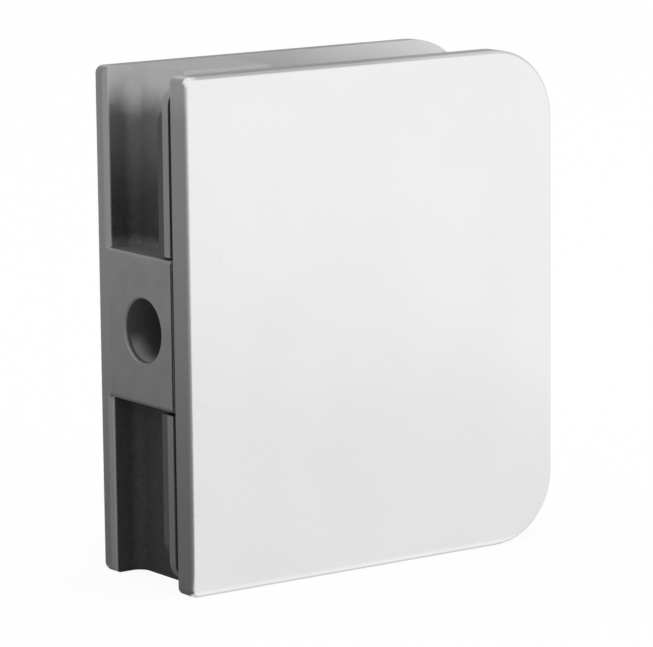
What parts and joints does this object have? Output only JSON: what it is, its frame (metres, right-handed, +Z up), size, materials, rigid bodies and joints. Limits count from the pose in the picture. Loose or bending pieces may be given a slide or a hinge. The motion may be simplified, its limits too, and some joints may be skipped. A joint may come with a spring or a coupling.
{
  "type": "glass panel clamp",
  "caption": "Wall clamp for a glass panel edge: cast body with back plate, web and bored fixing block, and a screwed-on cover, both lined with rubber.",
  "frame": {"origin": "middle of the footprint, at the lower edge of the plates", "axes": "+Z up along the plates' height, -X towards the wall, -Y towards the face of the cover"},
  "size_m": [0.044, 0.0158, 0.05],
  "materials": {
    "body_metal": "satin cast stainless steel",
    "cover_metal": "fine satin stainless steel",
    "gasket_rubber": "matt moulded rubber",
    "screw_steel": "plain stainless steel"
  },
  "bodies": {
    "body": {"body": "body_metal", "body_gasket": "gasket_rubber"},
    "cover": {"cover": "cover_metal", "cover_gasket": "gasket_rubber"},
    "upper_screw": {"upper_screw": "screw_steel"},
    "lower_screw": {"lower_screw": "screw_steel"}
  },
  "joints": [
    {"name": "cover_travel", "type": "slide", "parent": "body", "child": "cover", "axis": [0, -1, 0], "range_m": [0, 0.0032]},
    {"name": "upper_screw_turn", "type": "hinge", "parent": "body", "child": "upper_screw", "pos_m": [-0.0137, 0, 0.039], "axis": [0, 1, 0], "range_deg": [0, 1440]},
    {"name": "lower_screw_turn", "type": "hinge", "parent": "body", "child": "lower_screw", "pos_m": [-0.0137, 0, 0.011], "axis": [0, 1, 0], "range_deg": [0, 1440]}
  ],
  "couplings": [
    {"joint": "upper_screw_turn", "follows": "cover_travel", "rad_per_m": 7854},
    {"joint": "lower_screw_turn", "follows": "cover_travel", "rad_per_m": 7854}
  ]
}
